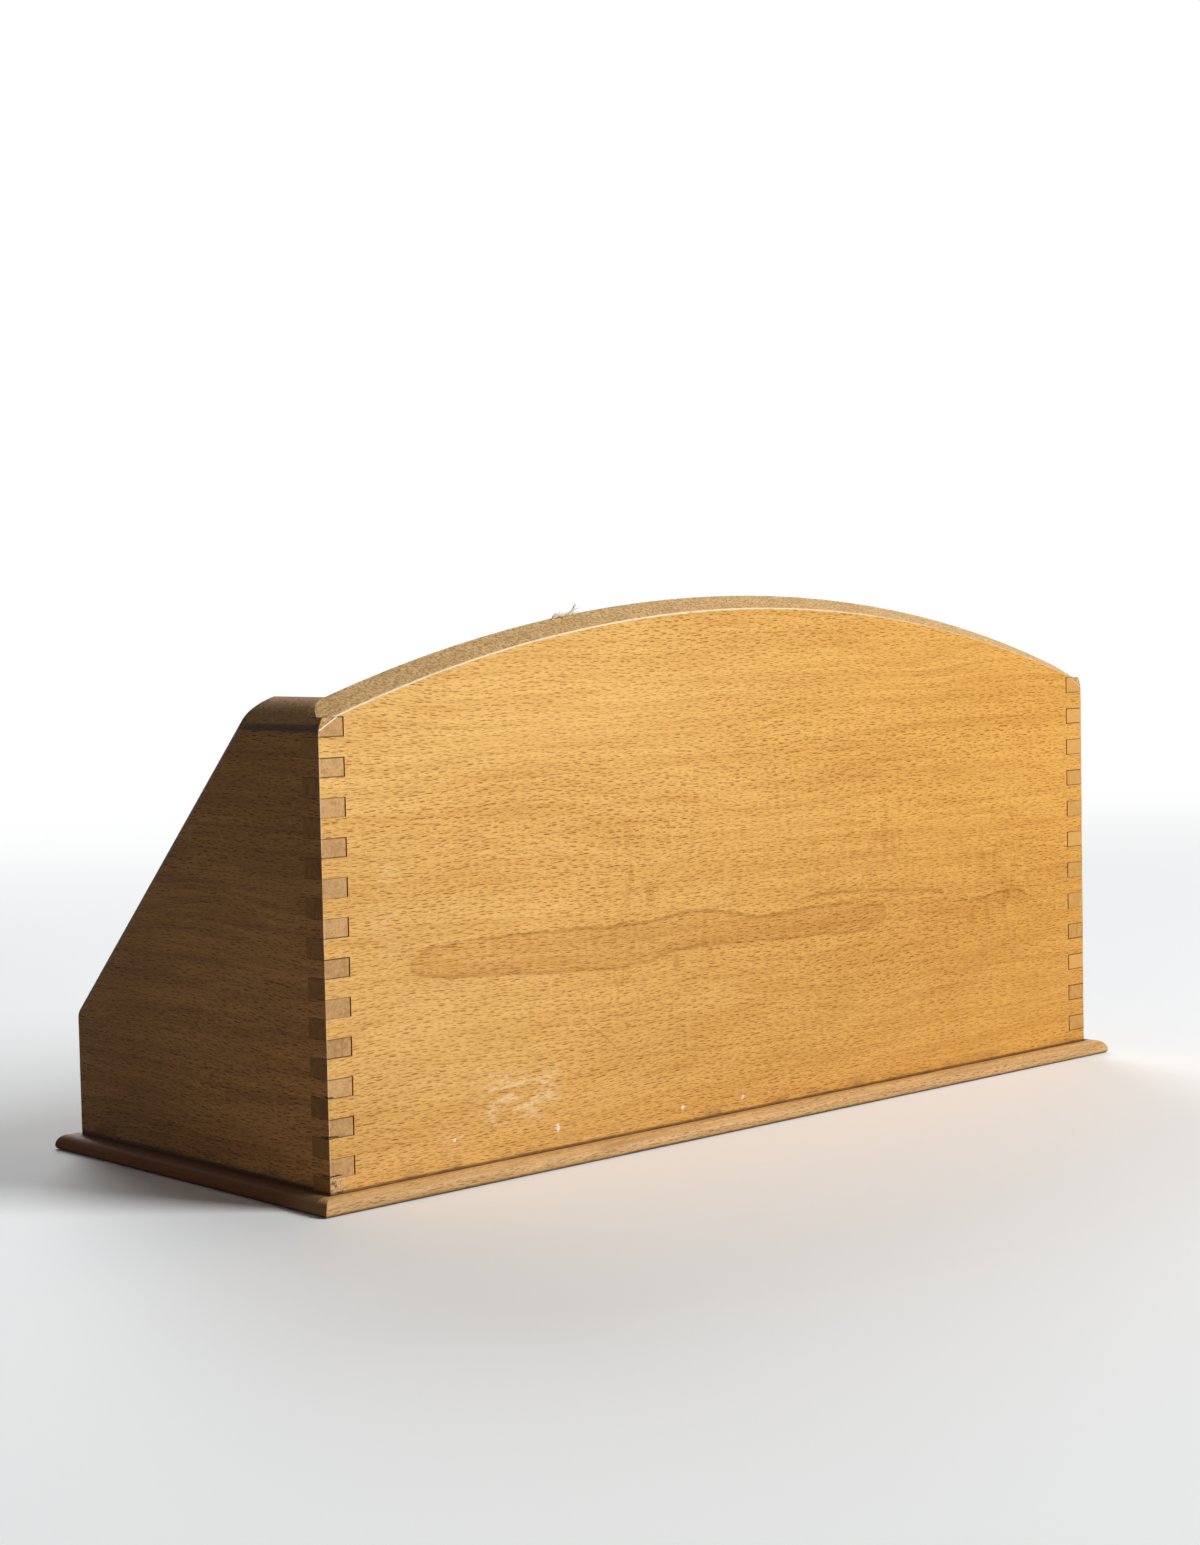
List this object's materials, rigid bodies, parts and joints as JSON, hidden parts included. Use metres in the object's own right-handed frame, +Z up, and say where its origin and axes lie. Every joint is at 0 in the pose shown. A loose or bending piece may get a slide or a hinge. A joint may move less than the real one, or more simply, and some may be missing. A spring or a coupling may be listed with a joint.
{
  "type": "desk letter box",
  "caption": "Low wooden desk letter box: arched back finger jointed into sloped sides, dividers stepping down to a low front, on a nosed base board",
  "frame": {"origin": "on the table, under the middle of the base board", "axes": "X across the box, Y from the low front to the arched back, Z up"},
  "size_m": [0.3812, 0.1522, 0.1816],
  "materials": {
    "base_beech": "satin varnish",
    "back_beech": "satin varnish",
    "side_beech": "satin varnish",
    "divider_beech": "satin varnish",
    "screw_steel": "dull"
  },
  "bodies": {
    "root": {"base_board": "base_beech", "back_board": "back_beech", "left_side_board": "side_beech", "right_side_board": "side_beech", "front_board": "back_beech", "rear_divider": "divider_beech", "middle_divider": "divider_beech", "front_divider": "divider_beech", "base_screws": "screw_steel"}
  },
  "joints": []
}
